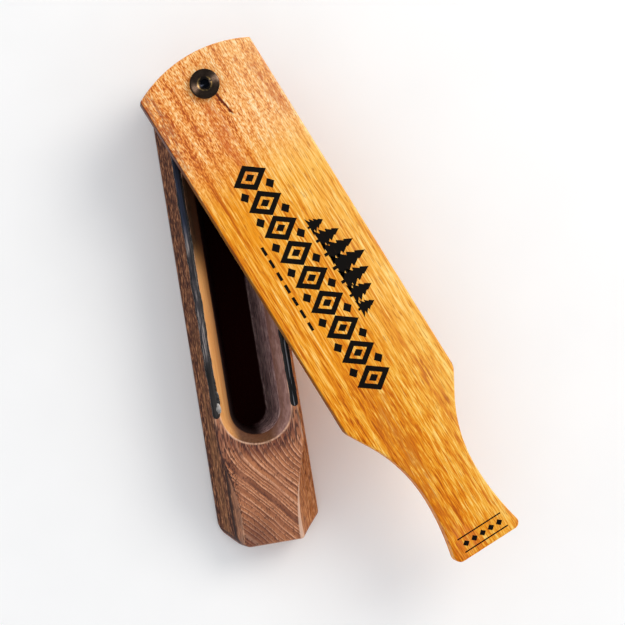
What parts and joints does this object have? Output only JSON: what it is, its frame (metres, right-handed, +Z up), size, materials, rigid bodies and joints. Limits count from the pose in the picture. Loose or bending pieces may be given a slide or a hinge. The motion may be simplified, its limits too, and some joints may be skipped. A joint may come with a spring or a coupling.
{
  "type": "box turkey call",
  "caption": "Friction game call: a hollowed wooden sound box with black rails on its lips, and a paddle lid that swings and rocks on a sprung screw.",
  "frame": {"origin": "on the base plane, straight below the axis of the pivot screw", "axes": "+X runs along the sound box from the pivot screw to the ramped end, +Y is to the left of that direction, +Z is up; the lid rests swung 22.6 degrees towards +Y"},
  "size_m": [0.2494, 0.1381, 0.056],
  "materials": {
    "box_wood": "satin oiled dark wood, open pores",
    "lid_wood": "satin lacquered golden wood",
    "rail": "hard black composite with a slight sheen",
    "glue": "glossy black adhesive",
    "insert": "turned brass",
    "spring": "bright spring wire",
    "screw": "black oxide over a turned face",
    "washer": "plain steel",
    "print": "flat black ink ornament on the lid"
  },
  "bodies": {
    "box": {"sound_box": "box_wood", "left_friction_rail": "rail", "right_friction_rail": "rail", "left_rail_glue": "glue", "right_rail_glue": "glue", "threaded_insert": "insert"},
    "spring": {"lid_spring": "spring"},
    "screw": {"pivot_screw": "screw"},
    "swivel": {"head_washer": "washer"},
    "lid": {"paddle_lid": "lid_wood", "spring_washer": "washer"}
  },
  "joints": [
    {"name": "tension_slide", "type": "slide", "parent": "box", "child": "spring", "axis": [0, 0, 1], "range_m": [0, 0.002], "deforming": ["lid_spring"]},
    {"name": "screw_turn", "type": "hinge", "parent": "spring", "child": "screw", "pos_m": [0, 0, 0.0538], "axis": [0, 0, 1], "range_deg": [0, 720]},
    {"name": "lid_swing", "type": "hinge", "parent": "spring", "child": "swivel", "pos_m": [0, 0, 0.053], "axis": [0, 0, 1], "continuous": true},
    {"name": "lid_tilt", "type": "hinge", "parent": "swivel", "child": "lid", "pos_m": [0.00577, 0.0024, 0.053], "axis": [0.3843, -0.9232, 0], "range_deg": [0, 4], "deforming": ["lid_spring"]}
  ],
  "couplings": [
    {"joint": "screw_turn", "follows": "tension_slide", "rad_per_m": 6283.2}
  ]
}
